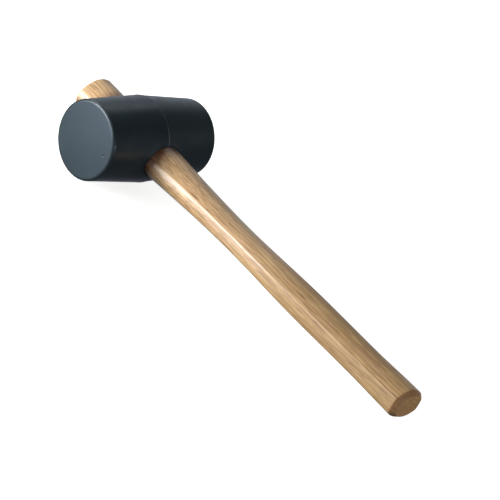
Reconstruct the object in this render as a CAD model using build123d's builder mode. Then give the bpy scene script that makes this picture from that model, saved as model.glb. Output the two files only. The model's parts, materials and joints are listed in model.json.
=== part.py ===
from build123d import *
from math import asin, atan2, cos, degrees, hypot, pi, radians, sin
import os

# Rubber mallet: a moulded rubber head on a tapered hardwood handle, in millimetres.
# It lies on its side as it would on a floor: the head's middle and the butt of the handle touch
# Z = 0, the head's axis is parallel to Y, and the handle runs towards +X.

# ---- Driving dimensions ---------------------------------------------------------------------------

# Head: a solid drum, widest at the parting line of its mould. Its draft is how much its radius
# falls from there to each face.
head_length = 116.0
head_diameter = 70.0
face_draft = 3.0
rim_radius = 2.6
parting_width = 1.6
parting_height = 0.25

# Handle: how far it reaches each way from the centre of the eye.
stub_reach = 60.0
grip_reach = 328.0

# Handle sections: each is a width along the head's axis and a depth across it.
stub_width, stub_depth = 39.4, 34.0
mouth_width, mouth_depth = 36.6, 28.4
waist_width, waist_depth = 28.0, 20.4
swell_width, swell_depth = 31.0, 23.4
palm_width, palm_depth = 30.0, 23.0
butt_width, butt_depth = 31.0, 24.6

# Where they stand: the eye's taper runs a little past the head, so that the whole mouth of the eye is
# on it, the waist is measured from the centre of the eye, and the swell and the palm from the butt.
mouth_overrun = 5.0
waist_station = 131.0
swell_setback = 109.0
palm_setback = 50.0

# The shaft narrows from the mouth to the waist as this power of the distance still to go, and its
# surface is lofted through sections about this far apart.
neck_power = 1.7
section_spacing = 12.0

# Shape of a section: how much of the half depth the crown takes, how much of the half width the side
# bulges in the eye, and the radius of the four corners.
crown_share = 0.5
eye_side_share = 0.18
grip_side_share = 0.03
eye_corner = 7.0
grip_corner = 3.5

# Ends of the handle: the stub's edge is rounded over, and the butt is bevelled all round.
stub_edge = 1.2
butt_bevel = 3.8
butt_inset = 3.0
butt_corner = 1.6

# Fit of the handle in the eye: the driven taper leaves no gap, so wood and rubber meet face to face.
eye_clearance = 0.0

# ---- Frame ----------------------------------------------------------------------------------------

head_radius = head_diameter / 2
belly_radius = head_radius + parting_height
bevel_station = grip_reach - butt_bevel

# The handle tips down until the lower crown at the butt meets the floor.
tip = degrees(
    asin(belly_radius / hypot(bevel_station, butt_depth / 2))
    - atan2(butt_depth / 2, bevel_station)
)

# The origin is on the floor, below the middle of the mallet's whole length.
eye_x = -(grip_reach - stub_reach) / 2 * cos(radians(tip))
eye_centre = (eye_x, 0, belly_radius)
handle_direction = (cos(radians(tip)), 0, -sin(radians(tip)))

head_axis = Axis(origin=eye_centre, direction=(0, 1, 0))
head_profile_plane = Plane(origin=eye_centre, x_dir=(0, 1, 0), z_dir=(1, 0, 0))
handle_plane = Plane(origin=eye_centre, x_dir=(0, 1, 0), z_dir=handle_direction)
mouth_station = belly_radius + mouth_overrun


# ---- Shared sections ------------------------------------------------------------------------------


def handle_section(width, depth, side_share, corner, growth=0.0):
    """A handle section: two crowns, two nearly flat sides and four rounded corners."""
    half_width = width / 2 + growth
    half_depth = depth / 2 + growth
    corner_x = half_width * (1 - side_share)
    corner_y = half_depth * (1 - crown_share)
    with BuildSketch(Plane.XY) as section:
        with BuildLine():
            ThreePointArc((corner_x, corner_y), (0, half_depth), (-corner_x, corner_y))
            ThreePointArc((-corner_x, corner_y), (-half_width, 0), (-corner_x, -corner_y))
            ThreePointArc((-corner_x, -corner_y), (0, -half_depth), (corner_x, -corner_y))
            ThreePointArc((corner_x, -corner_y), (half_width, 0), (corner_x, corner_y))
        make_face()
        fillet(section.vertices(), radius=corner)
    return section.sketch


def eye_taper(growth=0.0):
    """The straight taper through the head, from the stub's end to just past the mouth of the eye."""
    with BuildPart() as taper:
        with BuildSketch(handle_plane.offset(-stub_reach)):
            add(handle_section(stub_width, stub_depth, eye_side_share, eye_corner, growth))
        with BuildSketch(handle_plane.offset(mouth_station)):
            add(handle_section(mouth_width, mouth_depth, eye_side_share, eye_corner, growth))
        loft(ruled=True)
    return taper.part


# ---- Rubber head ----------------------------------------------------------------------------------

half_length = head_length / 2
face_radius = head_radius - face_draft
half_parting = parting_width / 2

with BuildPart() as rubber_head:
    with BuildSketch(head_profile_plane):
        with BuildLine() as half_profile:
            Polyline(
                (0, 0),
                (0, belly_radius),
                (half_parting, head_radius),
                (half_length, face_radius),
                (half_length, 0),
                (0, 0),
            )
        make_face()
        mirror(about=Plane.YZ)
    revolve(axis=head_axis)
    face_planes = rubber_head.faces().filter_by(GeomType.PLANE)
    fillet(face_planes.edges(), radius=rim_radius)
    add(eye_taper(eye_clearance), mode=Mode.SUBTRACT)

# ---- Handle ---------------------------------------------------------------------------------------

swell_station = grip_reach - swell_setback
palm_station = grip_reach - palm_setback


def shaft_value(station, mouth, waist, swell, palm, butt):
    """A size of the shaft at a station: it falls away to the waist, then eases from key to key."""
    if station < waist_station:
        to_go = (waist_station - station) / (waist_station - mouth_station)
        return waist + (mouth - waist) * to_go**neck_power
    keys = [
        (waist_station, waist),
        (swell_station, swell),
        (palm_station, palm),
        (bevel_station, butt),
    ]
    for (start, first), (end, last) in zip(keys, keys[1:]):
        if station <= end:
            share = (station - start) / (end - start)
            return first + (last - first) * (1 - cos(pi * share)) / 2
    return butt


def shaft_section(station):
    """The section of the shaft between the mouth of the eye and the bevel of the butt."""
    width = shaft_value(
        station, mouth_width, waist_width, swell_width, palm_width, butt_width
    )
    depth = shaft_value(
        station, mouth_depth, waist_depth, swell_depth, palm_depth, butt_depth
    )
    side_share = shaft_value(station, eye_side_share, *[grip_side_share] * 4)
    corner = shaft_value(station, eye_corner, *[grip_corner] * 4)
    return handle_section(width, depth, side_share, corner)


shaft_length = bevel_station - mouth_station
span_count = round(shaft_length / section_spacing)

with BuildPart() as handle:
    for index in range(span_count + 1):
        station = mouth_station + shaft_length * index / span_count
        with BuildSketch(handle_plane.offset(station)):
            add(shaft_section(station))
    loft()
    with BuildSketch(handle_plane.offset(bevel_station)):
        add(shaft_section(bevel_station))
    with BuildSketch(handle_plane.offset(grip_reach)):
        add(handle_section(butt_width, butt_depth, grip_side_share, butt_corner, -butt_inset))
    loft(ruled=True)
    add(eye_taper())
    stub_face = handle.faces().sort_by(Axis(eye_centre, handle_direction))[0]
    fillet(stub_face.edges(), radius=stub_edge)

# ---- Export ---------------------------------------------------------------------------------------

os.makedirs("parts", exist_ok=True)
for name, piece in (("rubber_head", rubber_head), ("handle", handle)):
    piece.part.label = name
    export_step(piece.part, f"parts/{name}.step")
    box = piece.part.bounding_box()
    print(name, "volume", round(piece.part.volume), "low", box.min, "high", box.max)
print("handle tips down by", round(tip, 3), "degrees; eye centre at", eye_centre)
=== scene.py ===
"""Rubber mallet: a moulded rubber head on a lacquered ash handle, dressed around its CAD frame."""

import json
import logging
import math
from dataclasses import astuple, dataclass
from enum import Enum

import bpy
import numpy as np
from mathutils import Euler, Matrix, Quaternion, Vector


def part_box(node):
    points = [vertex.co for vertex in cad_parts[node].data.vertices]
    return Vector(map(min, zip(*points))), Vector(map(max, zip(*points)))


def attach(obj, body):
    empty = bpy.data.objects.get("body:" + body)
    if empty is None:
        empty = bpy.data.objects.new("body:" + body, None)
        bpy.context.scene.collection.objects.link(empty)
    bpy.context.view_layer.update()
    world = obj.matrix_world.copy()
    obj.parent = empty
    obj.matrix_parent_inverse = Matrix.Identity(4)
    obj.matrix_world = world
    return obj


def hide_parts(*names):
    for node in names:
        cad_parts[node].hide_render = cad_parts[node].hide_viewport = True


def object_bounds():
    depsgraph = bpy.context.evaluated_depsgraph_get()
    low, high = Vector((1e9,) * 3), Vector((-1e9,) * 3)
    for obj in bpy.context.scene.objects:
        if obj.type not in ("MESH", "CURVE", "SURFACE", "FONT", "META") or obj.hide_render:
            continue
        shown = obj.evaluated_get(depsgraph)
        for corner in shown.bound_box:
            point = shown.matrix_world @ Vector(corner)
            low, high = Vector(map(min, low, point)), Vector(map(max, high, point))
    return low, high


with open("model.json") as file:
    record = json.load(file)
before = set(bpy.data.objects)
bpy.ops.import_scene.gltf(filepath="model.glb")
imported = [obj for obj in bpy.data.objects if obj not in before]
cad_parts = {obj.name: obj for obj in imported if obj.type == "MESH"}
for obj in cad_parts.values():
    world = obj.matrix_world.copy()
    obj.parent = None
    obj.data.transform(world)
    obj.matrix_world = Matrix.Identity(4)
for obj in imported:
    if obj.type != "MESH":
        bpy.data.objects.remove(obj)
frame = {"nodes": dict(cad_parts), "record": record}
CAD_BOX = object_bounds()

MM = 0.001
ROOT_BODY = "root"
log = logging.getLogger("mallet")

Socket = bpy.types.NodeSocket
Material = bpy.types.Material
Piece = bpy.types.Object
Faces = list[tuple[int, ...]]
Pair = tuple[float, float]
Colour = tuple[float, float, float, float]


class Slot(Enum):
    """The record's material slots."""

    RUBBER = "rubber"
    WOOD = "wood"


class Shape(Enum):
    """What an input of a geometry tree holds, as Blender names its socket."""

    GEOMETRY = "NodeSocketGeometry"
    NUMBER = "NodeSocketFloat"
    COUNT = "NodeSocketInt"
    VECTOR = "NodeSocketVector"
    MATERIAL = "NodeSocketMaterial"


class Kind(Enum):
    """What an attribute holds, as Blender names it."""

    CHOICE = "BOOLEAN"
    VECTOR = "FLOAT_VECTOR"


# ---- Small tools ------------------------------------------------------------


def linear(colour: str) -> Colour:
    """Turn an sRGB colour into the linear colour that shaders take.

    Args:
        colour: six hex digits after a hash, such as "#c8a070".

    Returns:
        Red, green, blue and an alpha of 1.
    """
    shares = [int(colour[i : i + 2], 16) / 255 for i in (1, 3, 5)]
    low_end, slope, offset, power = 0.04045, 12.92, 0.055, 2.4
    channels = [
        s / slope if s <= low_end else ((s + offset) / (1 + offset)) ** power for s in shares
    ]
    return (*channels, 1.0)


def add_node(
    tree: bpy.types.NodeTree, kind: str, inputs: dict | None = None, **settings
) -> bpy.types.Node:
    """Add a node with its settings, and set or link its inputs.

    Args:
        tree: the node tree to add to.
        kind: the node's Blender type name.
        inputs: input name or index to a value, or to the output socket that feeds it.
        settings: properties of the node itself.

    Returns:
        The new node.
    """
    node = tree.nodes.new(kind)
    for name, value in settings.items():
        setattr(node, name, value)
    for key, value in (inputs or {}).items():
        if isinstance(value, Socket):
            tree.links.new(value, node.inputs[key])
        else:
            node.inputs[key].default_value = value
    return node


def ease(share: np.ndarray) -> np.ndarray:
    """Run smoothly from 0 to 1 as share does, flat at both ends."""
    held = np.clip(share, 0.0, 1.0)
    return held * held * (3.0 - 2.0 * held)


def direction(azimuth: float, elevation: float) -> Vector:
    """The way from the mallet to where a lamp or the camera stands.

    Args:
        azimuth: degrees round from the -Y side, 90 beyond the butt.
        elevation: degrees up from level.

    Returns:
        A unit vector.
    """
    turn, rise = math.radians(azimuth), math.radians(elevation)
    level = math.cos(rise)
    return Vector((math.sin(turn) * level, -math.cos(turn) * level, math.sin(rise)))


def facing_back(way: Vector) -> Quaternion:
    """The turn of a lamp or camera that stands that way and looks back."""
    return (-way).to_track_quat("-Z", "Y")


def closed_tube(rings: np.ndarray) -> tuple[np.ndarray, Faces]:
    """Join rings of points into a closed skin with a single point at each end.

    Args:
        rings: points as (ring, place around, 3); the first and last rings are one point repeated.

    Returns:
        The vertices, and the faces that join them.
    """
    around = rings.shape[1]
    vertices = np.vstack([rings[0, :1], rings[1:-1].reshape(-1, 3), rings[-1, :1]])
    last = len(vertices) - 1
    after = [(i + 1) % around for i in range(around)]
    faces = [(0, 1 + after[i], 1 + i) for i in range(around)]
    for low in range(1, last - around, around):
        high = low + around
        faces += [(low + i, low + after[i], high + after[i], high + i) for i in range(around)]
    low = last - around
    faces += [(low + i, low + after[i], last) for i in range(around)]
    return vertices, faces


def new_piece(name: str, vertices: np.ndarray, faces: Faces) -> Piece:
    """Make a smooth shaded mesh object in the scene, at the origin and unturned.

    Args:
        name: the piece's name.
        vertices: points in metres, in the frame of the CAD model.
        faces: vertex numbers of each face.

    Returns:
        The object.
    """
    mesh = bpy.data.meshes.new(name)
    mesh.from_pydata(vertices.tolist(), [], faces)
    mesh.validate()
    mesh.shade_smooth()
    piece = bpy.data.objects.new(name, mesh)
    bpy.context.scene.collection.objects.link(piece)
    return piece


def set_attribute(piece: Piece, name: str, kind: Kind, values: np.ndarray) -> None:
    """Store vectors on a piece's points, or choices on its faces.

    Args:
        piece: the mesh object.
        name: the attribute's name.
        kind: what it holds.
        values: one value for each of them.
    """
    domain, field = ("POINT", "vector") if kind is Kind.VECTOR else ("FACE", "value")
    attribute = piece.data.attributes.new(name, kind.value, domain)
    attribute.data.foreach_set(field, np.ravel(values))


def settle(piece: Piece) -> None:
    """Turn a piece's live modifiers into plain mesh, and remove them.

    Args:
        piece: the mesh object.
    """
    graph = bpy.context.evaluated_depsgraph_get()
    finished = bpy.data.meshes.new_from_object(
        piece.evaluated_get(graph), preserve_all_data_layers=True, depsgraph=graph
    )
    piece.modifiers.clear()
    piece.data = finished
    finished.name = piece.name


class NodeBuilder:
    """Adds nodes to a tree, with short forms for the kinds that come up most."""

    def __init__(self, tree: bpy.types.NodeTree) -> None:
        """Build in this tree."""
        self.tree = tree

    def add(self, kind: str, inputs: dict | None = None, **settings) -> bpy.types.Node:
        """Add any kind of node to the tree, as add_node does."""
        return add_node(self.tree, kind, inputs, **settings)

    def math(self, operation: str, *values: float | Socket) -> Socket:
        """Work a Math operation on the values."""
        return self.add("ShaderNodeMath", dict(enumerate(values)), operation=operation).outputs[0]

    def vector(self, operation: str, *values: tuple | Socket) -> Socket:
        """Work a Vector Math operation on the values."""
        node = self.add("ShaderNodeVectorMath", dict(enumerate(values)), operation=operation)
        return node.outputs["Value" if operation in ("LENGTH", "DOT_PRODUCT") else "Vector"]

    def part(self, vector: Socket, axis: str) -> Socket:
        """One part of a vector: X, Y or Z."""
        return self.add("ShaderNodeSeparateXYZ", {"Vector": vector}).outputs[axis]

    def noise(self, vector: Socket, scale: float, dimensions: str = "3D", **inputs) -> Socket:
        """Add a noise texture.

        Args:
            vector: where it is looked up.
            scale: waves for each unit of the vector.
            dimensions: 3D, or 4D with a W that picks the pattern.
            inputs: its other inputs.

        Returns:
            The noise, about 0.5.
        """
        inputs |= {"Vector": vector, "Scale": scale}
        node = self.add("ShaderNodeTexNoise", inputs, noise_dimensions=dimensions)
        return node.outputs["Fac"]

    def remap(
        self, value: Socket, span: Pair, onto: Pair = (0.0, 1.0), smooth: bool = False
    ) -> Socket:
        """Run one span of a value onto another, and hold it at the ends.

        Args:
            value: the value.
            span: the span it is read over.
            onto: what that span becomes.
            smooth: whether it eases at both ends.

        Returns:
            The new value.
        """
        inputs = {"Value": value, "From Min": span[0], "From Max": span[1]}
        inputs |= {"To Min": onto[0], "To Max": onto[1]}
        style = "SMOOTHSTEP" if smooth else "LINEAR"
        return self.add("ShaderNodeMapRange", inputs, interpolation_type=style).outputs["Result"]

    def mix(self, share: Socket, first: Colour | Socket, second: Colour, **settings) -> Socket:
        """Go from the first colour to the second one by a share."""
        inputs = {"Factor": share, "A": first, "B": second}
        return self.add("ShaderNodeMix", inputs, data_type="RGBA", **settings).outputs["Result"]

    def average(self, share: float, first: Socket, second: Socket) -> Socket:
        """Go from the first number to the second one by a share."""
        inputs = {"Factor": share, "A": first, "B": second}
        return self.add("ShaderNodeMix", inputs).outputs["Result"]

    def bump(self, height: Socket, strength: float, depth_mm: float, **settings) -> Socket:
        """The normal of a surface with small dents in it."""
        inputs = {"Height": height, "Strength": strength, "Distance": depth_mm * MM}
        return self.add("ShaderNodeBump", inputs, **settings).outputs["Normal"]

    def places_mm(self, centre: Vector, tip: float = 0.0) -> Socket:
        """Places on a piece in millimetres.

        Args:
            centre: the point they are measured from, in metres.
            tip: how far their axes are turned about Y, in radians.

        Returns:
            The places.
        """
        inputs = {"Vector": self.add("ShaderNodeTexCoord").outputs["Object"]}
        inputs |= {"Location": centre, "Rotation": (0, tip, 0), "Scale": (MM,) * 3}
        return self.add("ShaderNodeMapping", inputs, vector_type="TEXTURE").outputs[0]

    def squeeze(self, vector: Socket, size_mm: Pair) -> Socket:
        """Count places in waves of this length along the handle and this width across it."""
        scale = (1 / size_mm[0], 1 / size_mm[1], 1 / size_mm[1])
        return self.add("ShaderNodeMapping", {"Vector": vector, "Scale": scale}).outputs[0]


class MaterialBuilder(NodeBuilder):
    """A material being made."""

    def __init__(self, name: str) -> None:
        """Start an empty material.

        Args:
            name: the material's name.
        """
        self.material = bpy.data.materials.new(name)
        self.material.use_nodes = True
        super().__init__(self.material.node_tree)
        self.tree.nodes.clear()

    def finish(self, inputs: dict) -> Material:
        """End the tree with a Principled shader.

        Args:
            inputs: the shader's inputs.

        Returns:
            The material.
        """
        shader = self.add("ShaderNodeBsdfPrincipled", inputs)
        self.add("ShaderNodeOutputMaterial", {"Surface": shader.outputs[0]})
        return self.material


@dataclass(frozen=True)
class Input:
    """One named input of a geometry tree, and the value a piece gives it."""

    name: str
    shape: Shape
    value: object


class GeometryBuilder(NodeBuilder):
    """A Geometry Nodes tree being made, with its named inputs after the geometry."""

    def __init__(self, name: str, *inputs: Input) -> None:
        """Start a tree.

        Args:
            name: its name.
            inputs: its inputs.
        """
        super().__init__(bpy.data.node_groups.new(name, "GeometryNodeTree"))
        self.inputs = inputs
        sockets = self.tree.interface
        sockets.new_socket("Geometry", in_out="INPUT", socket_type=Shape.GEOMETRY.value)
        for item in inputs:
            sockets.new_socket(item.name, in_out="INPUT", socket_type=item.shape.value)
        sockets.new_socket("Geometry", in_out="OUTPUT", socket_type=Shape.GEOMETRY.value)
        self.given = self.tree.nodes.new("NodeGroupInput").outputs

    def attribute(self, name: str, kind: Kind) -> Socket:
        """Read a named attribute of the mesh that goes in."""
        kind_of_node = "GeometryNodeInputNamedAttribute"
        return self.add(kind_of_node, {"Name": name}, data_type=kind.value).outputs["Attribute"]

    def finish(self, geometry: Socket, finishes: dict[str, str]) -> None:
        """Make the geometry real, dress it and end the tree.

        Args:
            geometry: what the tree has made.
            finishes: each input that holds a finish, to the face attribute it is for, or to ""
                for every face.
        """
        result = self.add("GeometryNodeRealizeInstances", {"Geometry": geometry}).outputs[0]
        for finish, chosen in finishes.items():
            inputs = {"Geometry": result, "Material": self.given[finish]}
            if chosen:
                inputs["Selection"] = self.attribute(chosen, Kind.CHOICE)
            result = self.add("GeometryNodeSetMaterial", inputs).outputs[0]
        self.add("NodeGroupOutput", {0: result})

    def grow(self, piece: Piece) -> None:
        """Run the tree on a piece and keep the result as its mesh.

        Args:
            piece: the object whose mesh goes in.
        """
        modifier = piece.modifiers.new(self.tree.name, "NODES")
        modifier.node_group = self.tree
        identifiers = {
            item.name: item.identifier
            for item in self.tree.interface.items_tree
            if item.item_type == "SOCKET" and item.in_out == "INPUT"
        }
        for item in self.inputs:
            modifier[identifiers[item.name]] = item.value
        settle(piece)


# ---- Where things are, from the CAD frame -----------------------------------


@dataclass(frozen=True)
class MalletFrame:
    """The mallet's two axes, as the CAD frame gives them.

    The handle's own places are in millimetres from the centre of the eye: along the handle towards
    the butt, across it along the head's axis, and up through its crown.
    """

    eye: Vector
    along: Vector
    half_length: float
    belly_radius: float
    stub_reach: float
    grip_reach: float

    @classmethod
    def read(cls) -> "MalletFrame":
        """Work the axes out from the record's mounts and the CAD nodes' boxes.

        Returns:
            The frame.
        """
        mounts = {m["name"]: m for m in frame["record"]["mounts"]}
        front = Vector(mounts["striking_face_front"]["pos_m"])
        back = Vector(mounts["striking_face_back"]["pos_m"])
        eye = (front + back) / 2
        along = Vector(mounts["grip"]["axis"]).normalized()
        low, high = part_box("rubber_head")
        vertices = frame["nodes"]["handle"].data.vertices
        reaches = [(vertex.co - eye).dot(along) / MM for vertex in vertices]
        return cls(
            eye=eye,
            along=along,
            half_length=(back - front).length / 2 / MM,
            belly_radius=(high.z - low.z) / 2 / MM,
            stub_reach=-min(reaches),
            grip_reach=max(reaches),
        )

    @property
    def tip(self) -> float:
        """How far the handle tips down from level, in radians."""
        return math.atan2(-self.along.z, self.along.x)

    @property
    def turn(self) -> np.ndarray:
        """The turn from handle places to frame places."""
        return np.array(Euler((0, self.tip, 0)).to_matrix())

    def place(self, local: np.ndarray) -> np.ndarray:
        """Turn handle places in millimetres into frame places in metres."""
        return local @ self.turn.T * MM + np.array(self.eye)

    def unplace(self, points: np.ndarray) -> np.ndarray:
        """Turn frame places in metres into handle places in millimetres."""
        return (points - np.array(self.eye)) / MM @ self.turn


# ---- Finishes ---------------------------------------------------------------


@dataclass(frozen=True)
class MouldedRubber:
    """Black filled rubber, hot moulded: a satin skin with a faint grey bloom of wax on it."""

    black: str = "#212b30"
    bloom: str = "#2d393d"
    bloom_patch_mm: float = 34.0
    skin_grain_mm: float = 0.55
    skin_grain_depth_mm: float = 0.03
    skin_grain_strength: float = 0.5
    flow_patch_mm: float = 9.0
    flow_span: Pair = (0.3, 0.7)
    roughness: Pair = (0.30, 0.40)
    sheen_tint: str = "#dfecff"
    ior: float = 1.47

    def material(self, place: MalletFrame) -> Material:
        """Make the rubber.

        Args:
            place: the mallet's frame, which centres the patterns on the head.

        Returns:
            The material.
        """
        nodes = MaterialBuilder("moulded_black_rubber")
        in_mm = nodes.places_mm(place.eye)
        # Bloom: a thin grey film in soft patches, which lifts the black unevenly.
        bloom = nodes.noise(in_mm, 1 / self.bloom_patch_mm, Detail=4.0, Roughness=0.6)
        # Flow marks: where the rubber knitted in the mould it is a little duller.
        flow = nodes.noise(in_mm, 1 / self.flow_patch_mm, Detail=5.0, Distortion=0.6)
        # The mould's blasted steel leaves a fine grain, drawn a little coarse so that it shows.
        grain = nodes.noise(in_mm, 1 / self.skin_grain_mm, Detail=2.0)
        return nodes.finish(
            {
                "Base Color": nodes.mix(bloom, linear(self.black), linear(self.bloom)),
                "Roughness": nodes.remap(flow, self.flow_span, self.roughness),
                "Normal": nodes.bump(grain, self.skin_grain_strength, self.skin_grain_depth_mm),
                "IOR": self.ior,
                "Specular Tint": linear(self.sheen_tint),
            }
        )


@dataclass(frozen=True)
class AshGrain:
    """How the ash grew: yearly rings about a pith outside the handle, with open pores in each.

    Streaks, fibres, pores and pink patches each have the length and width of one wave of them.
    Fibres and pores are drawn several times as wide as real ones, which would be too fine to show.
    """

    pith_across_mm: float = -34.0
    pith_up_mm: float = -62.0
    ring_mm: float = 3.4
    wander_mm: float = 1.0
    wander_patch_mm: Pair = (150.0, 26.0)
    streak_mm: Pair = (42.0, 2.6)
    fibre_mm: Pair = (60.0, 1.0)
    fibre_span: Pair = (0.39, 0.61)
    pore_mm: Pair = (16.0, 0.6)
    pore_span: Pair = (0.53, 0.585)
    patch_mm: Pair = (95.0, 15.0)
    patch_span: Pair = (0.5, 0.68)
    ring_tones: tuple[Pair, ...] = ((0.0, 0.25), (0.5, 0.4), (0.9, 1.0), (1.0, 0.55))
    early_wood: Pair = (0.3, 0.6)
    late_pore_share: float = 0.5


@dataclass(frozen=True)
class LacqueredAsh:
    """Ash, sanded and dipped in clear lacquer: straw-brown wood under a thin glossy coat."""

    grain: AshGrain
    pale: str = "#d9bb8c"
    brown: str = "#a68157"
    blush: str = "#cca489"
    pore: str = "#634630"
    # Painted shade: the colour of the head's shadow where the handle leaves it.
    crease_shade_colour: str = "#6a4630"
    ring_share: float = 0.28
    streak_share: float = 0.12
    blush_share: float = 0.3
    pore_share: float = 0.62
    stub_pore_share: float = 0.85
    stub_mm: Pair = (-34.0, -10.0)
    pore_depth_mm: float = 0.04
    pore_strength: float = 0.3
    roughness: float = 0.36
    roughness_swing: float = 0.08
    worn_roughness: float = 0.2
    coat: float = 0.45
    worn_coat: float = 0.0
    coat_roughness: float = 0.26
    hand_tone: str = "#e9e5da"
    held_mm: Pair = (130.0, 230.0)
    crease_mm: Pair = (-1.0, 15.0)
    shade_patch_mm: Pair = (9.0, 4.0)
    name: str = "lacquered_ash"

    def material(self, place: MalletFrame) -> Material:
        """Make the wood, with its pattern running through the whole piece.

        Args:
            place: the mallet's frame, which lines the grain up with the handle.

        Returns:
            The material.
        """
        grain = self.grain
        nodes = MaterialBuilder(self.name)
        in_mm = nodes.places_mm(place.eye, place.tip)
        wandered = self._wander(nodes, in_mm)
        ring = self._ring_share(nodes, wandered)
        streak = self._along_grain(nodes, wandered, grain.streak_mm)
        fibre = self._along_grain(nodes, wandered, grain.fibre_mm)
        lines = nodes.average(self.streak_share, nodes.remap(fibre, grain.fibre_span), streak)
        tone = nodes.average(self.ring_share, lines, self._ring_tone(nodes, ring))
        colour = nodes.mix(tone, linear(self.pale), linear(self.brown))
        # Patches where the wood runs pinker, as ash does near its heart.
        patch = self._along_grain(nodes, in_mm, grain.patch_mm, 2.0)
        blush = nodes.remap(patch, grain.patch_span, (0.0, self.blush_share))
        colour = nodes.mix(blush, colour, linear(self.blush))
        pores = self._pores(nodes, wandered, ring)
        colour = nodes.mix(pores, colour, linear(self.pore))
        # Hands have darkened the grip and rubbed its lacquer matt.
        held = nodes.remap(nodes.part(in_mm, "X"), self.held_mm, smooth=True)
        colour = nodes.mix(held, colour, linear(self.hand_tone), blend_type="MULTIPLY")
        # Painted shade: the wood darkens by the head, in place of the shadow the head casts on it.
        colour = nodes.mix(self._crease_shade(nodes, in_mm, place), colour, linear(self.crease_shade_colour))
        swing = (self.roughness - self.roughness_swing, self.roughness + self.roughness_swing)
        uneven = nodes.remap(streak, (0.0, 1.0), swing)
        return nodes.finish(
            {
                "Base Color": colour,
                "Roughness": nodes.math("MULTIPLY_ADD", held, self.worn_roughness, uneven),
                "Normal": nodes.bump(pores, self.pore_strength, self.pore_depth_mm, invert=True),
                "Coat Weight": nodes.remap(held, (0.0, 1.0), (self.coat, self.worn_coat)),
                "Coat Roughness": self.coat_roughness,
            }
        )

    @staticmethod
    def _along_grain(
        nodes: NodeBuilder, vector: Socket, size_mm: Pair, detail: float = 3.0
    ) -> Socket:
        """Noise that is long along the handle and narrow across it.

        Args:
            nodes: the material's builder.
            vector: places in millimetres.
            size_mm: its size along the grain and across it.
            detail: how many finer layers it has.

        Returns:
            The noise, about 0.5.
        """
        return nodes.noise(nodes.squeeze(vector, size_mm), 1.0, Detail=detail, Roughness=0.55)

    def _wander(self, nodes: NodeBuilder, vector: Socket) -> Socket:
        """Shift places slowly to and fro, as a trunk grows, so that the grain isn't ruled.

        Args:
            nodes: the material's builder.
            vector: places in millimetres.

        Returns:
            The shifted places.
        """
        squeezed = nodes.squeeze(vector, self.grain.wander_patch_mm)
        noise = nodes.add("ShaderNodeTexNoise", {"Vector": squeezed, "Scale": 1.0})
        centred = nodes.vector("SUBTRACT", noise.outputs["Color"], (0.5,) * 3)
        reach = 2 * self.grain.wander_mm
        return nodes.vector("ADD", vector, nodes.vector("MULTIPLY", centred, (0.0, reach, reach)))

    def _ring_share(self, nodes: NodeBuilder, vector: Socket) -> Socket:
        """How far through its year's ring each place is, from 0 at the early wood to 1.

        Args:
            nodes: the material's builder.
            vector: places in millimetres.

        Returns:
            The share.
        """
        pith = (0.0, self.grain.pith_across_mm, self.grain.pith_up_mm)
        from_pith = nodes.vector("SUBTRACT", vector, pith)
        radius = nodes.vector("LENGTH", nodes.vector("MULTIPLY", from_pith, (0.0, 1.0, 1.0)))
        return nodes.math("FRACT", nodes.math("DIVIDE", radius, self.grain.ring_mm))

    def _ring_tone(self, nodes: NodeBuilder, ring: Socket) -> Socket:
        """How brown a ring is: open, pale early wood first, then denser, browner late wood.

        Args:
            nodes: the material's builder.
            ring: the share of the ring.

        Returns:
            The tone, from 0 where the wood is pale to 1.
        """
        node = nodes.add("ShaderNodeValToRGB", {"Fac": ring})
        stops = node.color_ramp.elements
        for share, _ in self.grain.ring_tones[1:-1]:
            stops.new(share)
        for stop, (_, tone) in zip(stops, self.grain.ring_tones):
            stop.color = (tone, tone, tone, 1.0)
        return node.outputs["Color"]

    def _pores(self, nodes: NodeBuilder, vector: Socket, ring: Socket) -> Socket:
        """Dark dashes of open pores, crowded in the early wood.

        Args:
            nodes: the material's builder.
            vector: places in millimetres.
            ring: the share of the ring.

        Returns:
            How much of a pore each place is.
        """
        grain = self.grain
        noise = self._along_grain(nodes, vector, grain.pore_mm, 2.0)
        dash = nodes.remap(noise, grain.pore_span)
        band = nodes.remap(ring, grain.early_wood, (1.0, grain.late_pore_share))
        # The stub took less sanding, so its pores stay more open.
        shares = (self.stub_pore_share, self.pore_share)
        strength = nodes.remap(nodes.part(vector, "X"), self.stub_mm, shares)
        return nodes.math("MULTIPLY", nodes.math("MULTIPLY", dash, band), strength)

    def _crease_shade(self, nodes: NodeBuilder, vector: Socket, place: MalletFrame) -> Socket:
        """Painted shade on the wood where it leaves the head, darkest by the rubber, in place of
        the head's shadow.

        Args:
            nodes: the material's builder.
            vector: places in millimetres.
            place: the mallet's frame.

        Returns:
            How much painted shade each place takes.
        """
        radius = nodes.vector("LENGTH", nodes.vector("MULTIPLY", vector, (1.0, 0.0, 1.0)))
        start, end = (place.belly_radius + past for past in self.crease_mm)
        share = nodes.remap(radius, (start, end), (1.0, 0.0), smooth=True)
        shade_patches = self._along_grain(nodes, vector, self.shade_patch_mm)
        # The patches run about a half, so they are doubled to leave the share as it is on the
        # whole.
        return nodes.math("MULTIPLY", nodes.math("MULTIPLY", share, shade_patches), 2.0)


@dataclass(frozen=True)
class SeamlessPaper:
    """A roll of white background paper: matt, with the faintest mottle."""

    white: str = "#f4f4f3"
    shade: str = "#efefee"
    mottle_mm: float = 60.0
    roughness: float = 0.9
    glow: float = 0.93

    def material(self) -> Material:
        """Make the paper, which also glows so that it stays white under the dim room.

        Returns:
            The material.
        """
        nodes = MaterialBuilder("background_paper")
        mottle = nodes.noise(nodes.places_mm(Vector()), 1 / self.mottle_mm)
        return nodes.finish(
            {
                "Base Color": nodes.mix(mottle, linear(self.white), linear(self.shade)),
                "Roughness": self.roughness,
                "Emission Color": linear(self.white),
                "Emission Strength": self.glow,
            }
        )


# ---- The handle -------------------------------------------------------------


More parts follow.
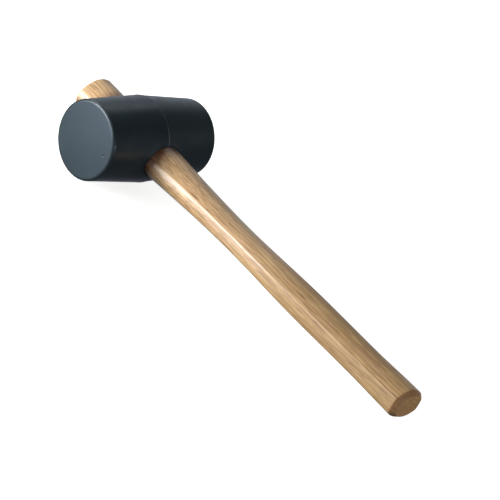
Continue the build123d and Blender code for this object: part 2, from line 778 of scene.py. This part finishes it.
@dataclass(frozen=True)
class Section:
    """A cut across the handle: width along the head's axis, depth across it, in millimetres.

    The side share is how much of the half width the side bulges, and corner is its corner radius.
    """

    width: float
    depth: float
    side_share: float
    corner: float

    def blend(self, other: "Section", share: float) -> "Section":
        """The section that is this share of the way to another one."""
        pairs = zip(astuple(self), astuple(other))
        return Section(*[first + (last - first) * share for first, last in pairs])


@dataclass
class Handle:
    """One length of ash: tapered stub and eye, slim neck, flat-sided swelling grip, bevelled butt.

    Its sizes are in millimetres. Rows are the places where its outline is drawn in, at a station
    along it and so far inside the section there.
    """

    place: MalletFrame
    crown_share: float = 0.5
    stub: Section = Section(39.4, 34.0, 0.18, 7.0)
    mouth: Section = Section(36.6, 28.4, 0.18, 7.0)
    waist: Section = Section(28.0, 20.4, 0.03, 3.5)
    swell: Section = Section(31.0, 23.4, 0.03, 3.5)
    palm: Section = Section(30.0, 23.0, 0.03, 3.5)
    butt: Section = Section(31.0, 24.6, 0.03, 3.5)
    mouth_overrun: float = 5.0
    waist_station: float = 131.0
    swell_setback: float = 109.0
    palm_setback: float = 50.0
    neck_power: float = 1.7
    stub_edge: float = 1.2
    butt_bevel: float = 3.8
    butt_inset: float = 3.0
    bevel_softness: float = 0.5
    light_sanding: float = 0.01
    firm_sanding: float = 0.04
    rim_sanding: float = 0.03
    row_step: float = 1.0
    edge_rows: int = 7
    side_steps: int = 14
    corner_steps: int = 14
    crown_steps: int = 26
    cap_steps: int = 14
    sanding_depth: float = 0.16
    sanding_length: float = 46.0
    sanding_width: float = 11.0
    seed: int = 7

    @property
    def mouth_station(self) -> float:
        """Where the eye's straight taper gives way to the shaft."""
        return self.place.belly_radius + self.mouth_overrun

    def section_at(self, station: float) -> Section:
        """The handle's section at a station before its ends are finished.

        Args:
            station: millimetres from the centre of the eye, towards the butt.

        Returns:
            The section there.
        """
        stub_reach, grip_reach = self.place.stub_reach, self.place.grip_reach
        if station <= self.mouth_station:
            share = (station + stub_reach) / (self.mouth_station + stub_reach)
            return self.stub.blend(self.mouth, share)
        if station <= self.waist_station:
            to_go = (self.waist_station - station) / (self.waist_station - self.mouth_station)
            return self.waist.blend(self.mouth, to_go**self.neck_power)
        keys = [
            (self.waist_station, self.waist),
            (grip_reach - self.swell_setback, self.swell),
            (grip_reach - self.palm_setback, self.palm),
            (grip_reach - self.butt_bevel, self.butt),
        ]
        for (start, first), (end, last) in zip(keys, keys[1:]):
            if station <= end:
                share = (1 - math.cos(math.pi * (station - start) / (end - start))) / 2
                return first.blend(last, share)
        return self.butt

    def outline(self, section: Section, inset: float = 0.0) -> np.ndarray:
        """The closed outline of a section: side, corner and crown arcs, four times over.

        Args:
            section: the sizes at that station.
            inset: how far the outline is drawn in.

        Returns:
            Points as (place around, 2): across and up.
        """
        half_width = section.width / 2 - inset
        half_depth = section.depth / 2 - inset
        corner = max(section.corner - inset, section.corner / 3)
        chord_across = half_width * (1 - section.side_share)
        chord_up = half_depth * (1 - self.crown_share)
        crown_rise = half_depth - chord_up
        side_rise = half_width - chord_across
        crown_radius = (chord_across**2 + crown_rise**2) / (2 * crown_rise)
        side_radius = (chord_up**2 + side_rise**2) / (2 * side_rise)
        crown_centre = np.array([0.0, half_depth - crown_radius])
        side_centre = np.array([half_width - side_radius, 0.0])
        corner_centre = self._meeting(
            side_centre, side_radius - corner, crown_centre, crown_radius - corner
        )
        side_turn, crown_turn = (
            math.atan2(*(corner_centre - centre)[::-1]) for centre in (side_centre, crown_centre)
        )
        arcs = (
            (side_centre, side_radius, 0.0, side_turn, self.side_steps),
            (corner_centre, corner, side_turn, crown_turn, self.corner_steps),
            (crown_centre, crown_radius, crown_turn, math.pi / 2, self.crown_steps),
        )
        points = []
        for centre, radius, start, end, steps in arcs:
            turn = start + (end - start) * np.arange(steps) / steps
            points.append(centre + radius * np.column_stack([np.cos(turn), np.sin(turn)]))
        quarter = np.vstack(points)
        top, far_side = [[0.0, half_depth]], [[-half_width, 0.0]]
        half = np.vstack([quarter, top, quarter[1:][::-1] * (-1, 1), far_side])
        return np.vstack([half, half[1:-1][::-1] * (1, -1)])

    @staticmethod
    def _meeting(
        first: np.ndarray, first_radius: float, second: np.ndarray, second_radius: float
    ) -> np.ndarray:
        """Where two circles meet, in the quarter that is across and up.

        Args:
            first: centre of one circle.
            first_radius: its radius.
            second: centre of the other circle.
            second_radius: its radius.

        Returns:
            The meeting point furthest across and up.
        """
        gap = second - first
        distance = float(np.hypot(*gap))
        foot = (first_radius**2 - second_radius**2 + distance**2) / (2 * distance)
        rise = math.sqrt(max(first_radius**2 - foot**2, 0.0))
        unit = gap / distance
        normal = np.array([-unit[1], unit[0]])
        return max((first + unit * foot + normal * rise * sign for sign in (1, -1)), key=sum)

    def _rows(self) -> list[Pair]:
        """The rows of the whole handle, from the stub's end to the butt's.

        Returns:
            Stations along the handle with how far each outline is drawn in there.
        """
        start, edge, soft = -self.place.stub_reach, self.stub_edge, self.bevel_softness
        end = self.place.grip_reach
        bevel_start = end - self.butt_bevel
        rows = [
            (start + edge * (1 - math.sin(turn)), edge * (1 - math.cos(turn)))
            for turn in np.linspace(0, math.pi / 2, self.edge_rows)
        ]
        plain = np.arange(start + edge + self.row_step, bevel_start - soft, self.row_step)
        rows += [(float(station), 0.0) for station in plain]
        # The bevel's two edges are softened by sanding.
        slope = self.butt_inset / self.butt_bevel
        rows += [
            (bevel_start - soft / 2, self.light_sanding),
            (bevel_start + soft / 2, slope * soft / 2 + self.firm_sanding),
            (bevel_start + soft, slope * soft + self.light_sanding),
            (bevel_start + self.butt_bevel / 2, self.butt_inset / 2),
            (end - soft, self.butt_inset - slope * soft),
            (end - soft / 3, self.butt_inset - slope * soft / 3 + self.rim_sanding),
            (end, self.butt_inset + soft / 2),
        ]
        return sorted(rows)

    def skin(self, rows: list[Pair], cap_steps: int = 1) -> tuple[np.ndarray, Faces]:
        """A skin over some rows, with a flat cap at each end.

        Args:
            rows: the rows, in order along the handle.
            cap_steps: rings from the middle of each cap to its edge.

        Returns:
            Vertices in handle millimetres, and faces.
        """
        rings = []
        for station, inset in rows:
            flat = self.outline(self.section_at(station), inset)
            rings.append(np.column_stack([np.full(len(flat), station), flat]))
        caps = []
        for ring in (rings[0], rings[-1]):
            middle = ring * (1, 0, 0)
            shares = np.linspace(0, 1, cap_steps, endpoint=False)
            caps.append([middle + (ring - middle) * share for share in shares])
        return closed_tube(np.stack([*caps[0], *rings, *caps[1][::-1]]))

    def build(self, wood: Material, ends: Material, bevel: Material) -> Piece:
        """Make the handle and dress it.

        Args:
            wood: finish of the long sides.
            ends: finish of the sawn and sanded ends.
            bevel: finish of the bevel round the butt.

        Returns:
            The finished piece.
        """
        place = self.place
        local, faces = self.skin(self._rows(), self.cap_steps)
        piece = new_piece("ash_handle", place.place(local), faces)
        centres = np.array([face.center for face in piece.data.polygons])
        stations = place.unplace(centres)[:, 0]
        stub_end = stations < -place.stub_reach + self.stub_edge / 2
        butt_end = stations > place.grip_reach - self.bevel_softness / 2
        bevelled = (stations > place.grip_reach - self.butt_bevel) & ~butt_end
        set_attribute(piece, "grain_mm", Kind.VECTOR, local)
        set_attribute(piece, "sawn_end", Kind.CHOICE, stub_end | butt_end)
        set_attribute(piece, "butt_bevel", Kind.CHOICE, bevelled)
        nodes = GeometryBuilder(
            "hand_sanding",
            Input("Sanding depth", Shape.NUMBER, self.sanding_depth * MM),
            Input("Sanding length", Shape.NUMBER, self.sanding_length),
            Input("Sanding width", Shape.NUMBER, self.sanding_width),
            Input("Seed", Shape.COUNT, self.seed),
            Input("Side finish", Shape.MATERIAL, wood),
            Input("End finish", Shape.MATERIAL, ends),
            Input("Bevel finish", Shape.MATERIAL, bevel),
        )
        self._sand(nodes)
        nodes.grow(piece)
        return piece

    @staticmethod
    def _sand(nodes: GeometryBuilder) -> None:
        """Let hand sanding show: long, shallow waves along the grain.

        Args:
            nodes: the tree's builder.
        """
        given = nodes.given
        width = given["Sanding width"]
        size = nodes.add(
            "ShaderNodeCombineXYZ", {"X": given["Sanding length"], "Y": width, "Z": width}
        )
        waves = nodes.vector("DIVIDE", nodes.attribute("grain_mm", Kind.VECTOR), size.outputs[0])
        noise = nodes.noise(waves, 1.0, "4D", W=given["Seed"], Detail=1.0)
        height = nodes.math("MULTIPLY", nodes.math("SUBTRACT", noise, 0.5), given["Sanding depth"])
        normal = nodes.add("GeometryNodeInputNormal").outputs[0]
        offset = nodes.add(
            "ShaderNodeVectorMath", {0: normal, "Scale": height}, operation="SCALE"
        )
        moved = nodes.add(
            "GeometryNodeSetPosition", {"Geometry": given["Geometry"], "Offset": offset.outputs[0]}
        )
        nodes.finish(
            moved.outputs[0],
            {"Side finish": "", "End finish": "sawn_end", "Bevel finish": "butt_bevel"},
        )


# ---- The head ---------------------------------------------------------------


@dataclass(frozen=True)
class Mark:
    """A small raised mark that the mould left on the head.

    Its place is along the head's axis and round it, from the handle's side towards the top.
    """

    along_mm: float
    round_deg: float
    length_mm: float
    width_mm: float
    height_mm: float


@dataclass
class RubberHead:
    """The moulded drum: two drafted halves about a parting line, rounded rims and a tapered eye.

    Its sizes are in millimetres. Rows are the rings of its skin about the head's axis: they stand
    close together by the pit and on the rims, and closer near the eye than near the faces.
    """

    place: MalletFrame
    handle: Handle
    mid_radius: float = 35.0
    face_draft: float = 3.0
    rim_radius: float = 2.6
    face_dome: float = 0.5
    parting_width: float = 1.6
    parting_height: float = 0.08
    parting_narrowing: float = 2.2
    mould_shift: float = 0.18
    around: int = 312
    face_rows: tuple[int, int, int] = (30, 14, 8)
    rim_rows: int = 16
    side_rows: tuple[int, int] = (44, 40)
    side_split: float = 24.0
    ridge_rows: int = 10
    lip_height: float = 0.35
    lip_width: float = 2.6
    mouth_round: float = 0.9
    side_from: float = 28.0
    side_fade: float = 3.0
    eye_clearance: float = 0.04
    eye_rows: int = 9
    eye_half_box: Pair = (32.0, 30.0)
    far_away: float = 99.0
    sharp_deg: float = 50.0
    pit_radius: float = 23.9
    pit_turn_deg: float = 0.8
    pit_size: float = 0.85
    pit_depth: float = 0.7
    pit_surround: Pair = (1.3, 1.6)
    face_zone: float = 2.0
    fin_width: float = 0.32
    fin_height: float = 0.07
    fin_steps: int = 720
    fin_patch: float = 6.0
    fin_noise_span: Pair = (0.3, 0.7)
    fin_thinnest: float = 0.2
    fin_seed: int = 3
    mark_segments: int = 24
    mark_rings: int = 12
    marks: tuple[Mark, ...] = (
        Mark(-22.0, 35.0, 1.5, 1.4, 0.6),
        Mark(-55.0, 18.3, 6.0, 1.5, 1.2),
    )

    def _profile(self) -> np.ndarray:
        """The drum's outline, from the front pole to the back one.

        Returns:
            Points as (row, 2): along the head's axis and out from it.
        """
        half, pit = self.place.half_length, self.pit_radius
        rim, dome = self.rim_radius, self.face_dome
        flat = self.mid_radius - self.face_draft - rim
        near, clear = self.pit_surround
        inner, close, outer = self.face_rows
        radii = np.concatenate(
            [
                np.linspace(0.0, pit - clear, inner),
                np.linspace(pit - near, pit + near, close),
                np.linspace(pit + clear, flat, outer),
            ]
        )
        # The face is domed by a hair, so that it meets the work in its middle.
        face = np.column_stack([-half + dome * (radii / flat) ** 2, radii])
        draft = math.atan2(self.face_draft, half)
        turn = np.linspace(0, math.pi / 2 - draft, self.rim_rows)[1:]
        along_rim = -half + dome + (rim - dome) * (1 - np.cos(turn))
        round_rim = np.column_stack([along_rim, flat + rim * np.sin(turn)])
        start, start_radius = round_rim[-1]
        slope = (self.mid_radius - start_radius) / (0 - start)
        outside, inside = self.side_rows
        along_side = -np.concatenate(
            [
                np.linspace(-start, self.side_split, outside)[1:],
                np.linspace(self.side_split, self.parting_width, inside)[1:],
            ]
        )
        along_ridge = np.linspace(-self.parting_width, 0, self.ridge_rows)[1:]
        ridge_half = self.parting_width / self.parting_narrowing
        along = np.concatenate([along_side, along_ridge])
        out = start_radius + slope * (along - start)
        out[len(along_side) :] += np.exp(-((along_ridge / ridge_half) ** 2)) * self.parting_height
        front = np.vstack([face, round_rim, np.column_stack([along, out])])
        back = front[:-1][::-1] * (-1, 1)
        # The two halves of the mould never meet quite true, which leaves a fine step.
        back[:, 1] -= self.mould_shift * ease((back[:, 1] - flat) / rim)
        return np.vstack([front, back])

    def _skin(self) -> tuple[np.ndarray, Faces]:
        """Turn the outline round the head's axis.

        Returns:
            Vertices about the centre of the eye, as x, y, z of the frame, and faces.
        """
        turn = np.linspace(2 * math.pi, 0, self.around, endpoint=False)
        rings = [
            np.column_stack([r * np.cos(turn), np.full(self.around, y), r * np.sin(turn)])
            for y, r in self._profile()
        ]
        return closed_tube(np.stack(rings))

    def _eye_distance(self, points: np.ndarray) -> np.ndarray:
        """How far outside the eye's own outline each point of the skin is.

        Args:
            points: points in frame metres.

        Returns:
            Distances in millimetres, negative inside the eye; a point nowhere near it is only
            given as far away.
        """
        local = self.place.unplace(points)
        outlines = {}
        distances = np.full(len(local), self.far_away)
        near = (np.abs(local[:, 1:]) < self.eye_half_box).all(axis=1)
        for index in np.nonzero(near)[0]:
            station = round(float(local[index, 0]))
            if station not in outlines:
                outlines[station] = self.handle.outline(self.handle.section_at(station))
            ring = outlines[station]
            edge = np.roll(ring, -1, axis=0) - ring
            rel = local[index, 1:] - ring
            share = np.clip((rel * edge).sum(1) / (edge * edge).sum(1), 0, 1)
            gap = np.hypot(*(rel - share[:, None] * edge).T).min()
            inside = (edge[:, 0] * rel[:, 1] - edge[:, 1] * rel[:, 0] > 0).all()
            distances[index] = -gap if inside else gap
        return distances

    def _shape_mouths(self, points: np.ndarray) -> np.ndarray:
        """Raise the rubber that the driven handle pushes up, and round the edges of the eye.

        Args:
            points: points in frame metres.

        Returns:
            The moved points.
        """
        rel = (points - np.array(self.place.eye)) * (1, 0, 1)
        reach = np.linalg.norm(rel, axis=1)
        out = rel / np.maximum(reach, 1e-9)[:, None]
        distance = self._eye_distance(points)
        on_side = ease((reach / MM - self.side_from) / self.side_fade)
        lip = self.lip_height * np.exp(-((np.maximum(distance, 0) / self.lip_width) ** 2))
        to_edge = np.clip(self.mouth_round - distance, 0, self.mouth_round)
        drop = self.mouth_round - np.sqrt(np.maximum(self.mouth_round**2 - to_edge**2, 0.0))
        return points + out * ((lip - drop) * on_side * MM)[:, None]

    def _press_pit(self, points: np.ndarray) -> np.ndarray:
        """Press the small trapped-air pit into the front face.

        Args:
            points: points in frame metres.

        Returns:
            The moved points.
        """
        eye, half = np.array(self.place.eye), self.place.half_length
        turn, radius = math.radians(self.pit_turn_deg), self.pit_radius
        spot = eye + MM * np.array([radius * math.cos(turn), -half, radius * math.sin(turn)])
        gap = np.linalg.norm((points - spot) * (1, 0, 1), axis=1) / MM
        front = points[:, 1] < eye[1] - (half - self.face_zone) * MM
        depth = self.pit_depth * (1 - ease(gap / self.pit_size)) * front
        return points + np.outer(depth * MM, (0, 1, 0))

    def build(self, rubber: Material) -> list[Piece]:
        """Make the drum, its trimmed flash and its moulding marks.

        Args:
            rubber: the finish.

        Returns:
            The finished pieces.
        """
        local, faces = self._skin()
        points = local * MM + np.array(self.place.eye)
        points = self._press_pit(self._shape_mouths(points))
        drum = new_piece("rubber_drum", points, faces)
        drum.data.materials.append(rubber)
        self._cut_eye(drum)
        return [drum, self._flash(rubber), self._moulding_marks(rubber)]

    def _cut_eye(self, drum: Piece) -> None:
        """Cut the tapered eye through the drum.

        Args:
            drum: the drum, which is changed.
        """
        reach = self.handle.mouth_station
        stations = np.linspace(-reach, reach, self.eye_rows)
        vertices, faces = self.handle.skin([(each, -self.eye_clearance) for each in stations])
        cutter = new_piece("eye_cutter", self.place.place(vertices), faces)
        cut = drum.modifiers.new("eye", "BOOLEAN")
        cut.operation = "DIFFERENCE"
        cut.solver = "MANIFOLD"
        cut.object = cutter
        settle(drum)
        bpy.data.objects.remove(cutter)
        drum.data.set_sharp_from_angle(angle=math.radians(self.sharp_deg))

    def _flash(self, rubber: Material) -> Piece:
        """The thin, uneven fin of rubber that squeezed out along the parting line.

        Args:
            rubber: the finish.

        Returns:
            The finished piece.
        """
        nodes = GeometryBuilder(
            "parting_flash",
            Input("Radius", Shape.NUMBER, (self.mid_radius + self.parting_height) * MM),
            Input("Centre", Shape.VECTOR, self.place.eye),
            Input("Fin width", Shape.NUMBER, self.fin_width * MM),
            Input("Fin height", Shape.NUMBER, self.fin_height * MM),
            Input("Steps", Shape.COUNT, self.fin_steps),
            Input("Seed", Shape.COUNT, self.fin_seed),
            Input("Finish", Shape.MATERIAL, rubber),
        )
        given = nodes.given
        circle = nodes.add(
            "GeometryNodeCurvePrimitiveCircle",
            {"Resolution": given["Steps"], "Radius": given["Radius"]},
        ).outputs["Curve"]
        upright = {"Translation": given["Centre"], "Rotation": (math.pi / 2, 0.0, 0.0)}
        path = nodes.add("GeometryNodeTransform", {"Geometry": circle, **upright}).outputs[0]
        fin = nodes.add(
            "GeometryNodeCurvePrimitiveQuadrilateral",
            {"Width": given["Fin height"], "Height": given["Fin width"]},
        ).outputs["Curve"]
        places = nodes.add("GeometryNodeInputPosition").outputs[0]
        scale = 1 / (self.fin_patch * MM)
        noise = nodes.noise(places, scale, "4D", W=given["Seed"], Detail=3.0)
        thickness = nodes.remap(noise, self.fin_noise_span, (self.fin_thinnest, 1.0))
        uneven = nodes.add("GeometryNodeSetCurveRadius", {"Curve": path, "Radius": thickness})
        swept = nodes.add(
            "GeometryNodeCurveToMesh", {"Curve": uneven.outputs["Curve"], "Profile Curve": fin}
        )
        nodes.finish(swept.outputs["Mesh"], {"Finish": ""})
        piece = new_piece("trimmed_flash", np.zeros((0, 3)), [])
        nodes.grow(piece)
        self._trim_at_eye(piece)
        piece.data.shade_smooth()
        return piece

    def _trim_at_eye(self, piece: Piece) -> None:
        """Take away the flash that would run across the eye.

        Args:
            piece: the flash, which is changed.
        """
        mesh = piece.data
        points = np.array([vertex.co for vertex in mesh.vertices])
        clear = self._eye_distance(points) > self.mouth_round / 2
        kept = [face.vertices[:] for face in mesh.polygons if clear[list(face.vertices)].all()]
        used = sorted({i for face in kept for i in face})
        number = {old: new for new, old in enumerate(used)}
        faces = [[number[i] for i in face] for face in kept]
        piece.data = bpy.data.meshes.new(piece.name)
        piece.data.from_pydata(points[used].tolist(), [], faces)
        piece.data.materials.append(mesh.materials[0])

    def _moulding_marks(self, rubber: Material) -> Piece:
        """The vent nub and the gate scar: low domes that stand out of the drum's side.

        Args:
            rubber: the finish.

        Returns:
            The finished piece.
        """
        slope = self.face_draft / self.place.half_length
        spots, outs, sizes = [], [], []
        for mark in self.marks:
            turn = math.radians(mark.round_deg)
            out = Vector((math.cos(turn), 0, math.sin(turn)))
            radius = self.mid_radius - slope * abs(mark.along_mm)
            spots.append(self.place.eye + out * radius * MM + Vector((0, mark.along_mm * MM, 0)))
            outs.append(out)
            sizes.append([mark.length_mm * MM, mark.width_mm * MM, mark.height_mm * MM])
        piece = new_piece("moulding_marks", np.array(spots), [])
        set_attribute(piece, "out", Kind.VECTOR, np.array(outs))
        set_attribute(piece, "size", Kind.VECTOR, np.array(sizes))
        nodes = GeometryBuilder(
            "moulding_marks",
            Input("Segments", Shape.COUNT, self.mark_segments),
            Input("Rings", Shape.COUNT, self.mark_rings),
            Input("Finish", Shape.MATERIAL, rubber),
        )
        given = nodes.given
        points = nodes.add("GeometryNodeMeshToPoints", {"Mesh": given["Geometry"]})
        dome = nodes.add(
            "GeometryNodeMeshUVSphere",
            {"Segments": given["Segments"], "Rings": given["Rings"], "Radius": 0.5},
        )
        align = "FunctionNodeAlignRotationToVector"
        upright = nodes.add(align, {"Vector": nodes.attribute("out", Kind.VECTOR)}, axis="Z")
        lengthways = {"Rotation": upright.outputs[0], "Vector": (0.0, 1.0, 0.0)}
        placed = nodes.add(
            "GeometryNodeInstanceOnPoints",
            {
                "Points": points.outputs[0],
                "Instance": dome.outputs["Mesh"],
                "Rotation": nodes.add(align, lengthways, axis="Y", pivot_axis="Z").outputs[0],
                "Scale": nodes.attribute("size", Kind.VECTOR),
            },
        )
        nodes.finish(placed.outputs["Instances"], {"Finish": ""})
        nodes.grow(piece)
        piece.data.shade_smooth()
        return piece


# ---- The studio -------------------------------------------------------------


@dataclass(frozen=True)
class Softbox:
    """A soft area light that faces the mallet: angles in degrees, lengths in metres."""

    name: str
    azimuth: float
    elevation: float
    distance: float
    width: float
    height: float
    radiance: float
    colour: str = "#ffffff"

    def hang(self, target: Vector) -> None:
        """Put the light up.

        Args:
            target: the point it faces.
        """
        light = bpy.data.lights.new(self.name, "AREA")
        light.shape = "RECTANGLE"
        light.size, light.size_y = self.width, self.height
        light.energy = self.radiance * math.pi * self.width * self.height
        light.color = linear(self.colour)[:3]
        way = direction(self.azimuth, self.elevation)
        lamp = bpy.data.objects.new(self.name, light)
        lamp.location = target + way * self.distance
        lamp.rotation_euler = facing_back(way).to_euler()
        bpy.context.scene.collection.objects.link(lamp)


@dataclass(frozen=True)
class Viewpoint:
    """Where the camera stands: angles in degrees, lengths in metres unless named."""

    azimuth: float = 35.515
    elevation: float = 24.258
    roll: float = 24.295
    distance: float = 1.4117
    lens_mm: float = 134.08
    sensor_mm: float = 36.0
    nearest: float = 0.01
    furthest: float = 100.0
    aim_along_mm: float = 145.62
    aim_offset_mm: Pair = (-0.04, -0.05)

    def place_camera(self, place: MalletFrame) -> None:
        """Set the camera up, aimed at a point of the handle.

        Args:
            place: the mallet's frame.
        """
        way = direction(self.azimuth, self.elevation)
        aim = place.eye + place.along * self.aim_along_mm * MM
        aim += Vector((0, *self.aim_offset_mm)) * MM
        data = bpy.data.cameras.new("camera")
        data.lens, data.sensor_width = self.lens_mm, self.sensor_mm
        data.clip_start, data.clip_end = self.nearest, self.furthest
        camera = bpy.data.objects.new("camera", data)
        roll = Matrix.Rotation(math.radians(self.roll), 3, "Z")
        turn = (facing_back(way).to_matrix() @ roll).to_4x4()
        camera.matrix_world = Matrix.Translation(aim + way * self.distance) @ turn
        bpy.context.scene.collection.objects.link(camera)
        bpy.context.scene.camera = camera


@dataclass(frozen=True)
class Glow:
    """Soft light from one side of the room: strongest straight there, gone past its spread."""

    towards: tuple[float, float, float]
    spread_deg: float
    strength: float


@dataclass
class Studio:
    """A pale paper floor, soft lights and the camera, in metres."""

    place: MalletFrame
    paper: SeamlessPaper = SeamlessPaper()
    floor_size: float = 40.0
    ambient: float = 0.05
    ambient_colour: str = "#e4ecfa"
    glows: tuple[Glow, ...] = (
        Glow((-0.54, -0.82, -0.04), 28.0, 5.6),
        Glow((-0.53, 0.80, -0.12), 46.0, 0.62),
        Glow((0.0, 0.0, -1.0), 80.0, 0.10),
    )
    aim_along: float = 0.03
    viewpoint: Viewpoint = Viewpoint()
    softboxes: tuple[Softbox, ...] = (
        Softbox("key_softbox", -36.0, 15.0, 0.80, 0.26, 0.40, 20.0, "#fff5eb"),
        Softbox("front_softbox", -14.0, 14.0, 0.85, 0.60, 0.38, 6.6),
        Softbox("side_softbox", -90.0, 40.0, 1.3, 0.55, 0.45, 6.5),
        Softbox("fill_panel", 97.0, 14.0, 1.3, 0.55, 0.45, 5.2),
        Softbox("back_panel", 225.0, 45.0, 1.3, 0.55, 0.45, 1.0),
        Softbox("rear_softbox", 177.0, 4.0, 1.1, 0.36, 0.26, 5.0),
    )

    def build(self) -> None:
        """Lay the floor, hang the lights and set the camera up."""
        self._lay_floor()
        self._light_room()
        for softbox in self.softboxes:
            softbox.hang(self.place.eye + self.place.along * self.aim_along)
        self.viewpoint.place_camera(self.place)
        bpy.context.scene.view_settings.view_transform = "Standard"

    def _lay_floor(self) -> None:
        """Lay the floor under the lowest point of the mallet."""
        half, low = self.floor_size / 2, CAD_BOX[0].z
        corners = [(-half, -half, low), (half, -half, low), (half, half, low), (-half, half, low)]
        floor = new_piece("floor", np.array(corners), [(0, 1, 2, 3)])
        floor.data.materials.append(self.paper.material())
        # The paper is seen and takes shadows, but doesn't fill the mallet's dark underside.
        floor.visible_glossy = False
        floor.visible_diffuse = False

    def _light_room(self) -> None:
        """Fill the room with dim light, and with what the lit paper and the wall throw back."""
        world = bpy.data.worlds.new("room")
        world.use_nodes = True
        nodes = NodeBuilder(world.node_tree)
        nodes.tree.nodes.clear()
        way = nodes.add("ShaderNodeTexCoord").outputs["Generated"]
        total = self.ambient
        for glow in self.glows:
            facing = nodes.vector("DOT_PRODUCT", way, Vector(glow.towards).normalized())
            span = (math.cos(math.radians(glow.spread_deg)), 1.0)
            strength = nodes.remap(facing, span, (0.0, glow.strength), smooth=True)
            total = nodes.math("ADD", total, strength)
        light = {"Color": linear(self.ambient_colour), "Strength": total}
        background = nodes.add("ShaderNodeBackground", light)
        nodes.add("ShaderNodeOutputWorld", {"Surface": background.outputs[0]})
        bpy.context.scene.world = world


# ---- Putting it together ----------------------------------------------------


def report(piece: Piece) -> None:
    """Log a finished piece's size.

    Args:
        piece: the piece.
    """
    mesh = piece.data
    mesh.calc_loop_triangles()
    triangles = len(mesh.loop_triangles)
    log.info("%s: %d points, %d triangles", piece.name, len(mesh.vertices), triangles)


def main() -> None:
    """Build the handle, then the head round it, then the studio."""
    logging.basicConfig(level=logging.INFO, format="%(name)s: %(message)s")
    place = MalletFrame.read()
    grain = AshGrain()
    wood = LacqueredAsh(grain).material(place)
    ends = LacqueredAsh(
        grain,
        pale="#ecc28c",
        brown="#c09263",
        blush="#cf9f78",
        pore="#75522f",
        roughness=0.6,
        coat=0.15,
        coat_roughness=0.4,
        name="sealed_end_grain",
    ).material(place)
    bevel = LacqueredAsh(
        grain,
        pale="#cb9f6f",
        brown="#a7794f",
        blush="#b9845f",
        pore="#6a4a30",
        roughness=0.5,
        coat=0.2,
        worn_coat=0.2,
        name="burnished_bevel",
    ).material(place)
    rubber = MouldedRubber().material(place)

    handle = Handle(place)
    ash = handle.build(wood, ends, bevel)
    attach(ash, ROOT_BODY)
    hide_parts("handle")
    report(ash)

    for piece in RubberHead(place, handle).build(rubber):
        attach(piece, ROOT_BODY)
        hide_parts("rubber_head")
        report(piece)

    Studio(place).build()


if __name__ == "__main__":
    main()
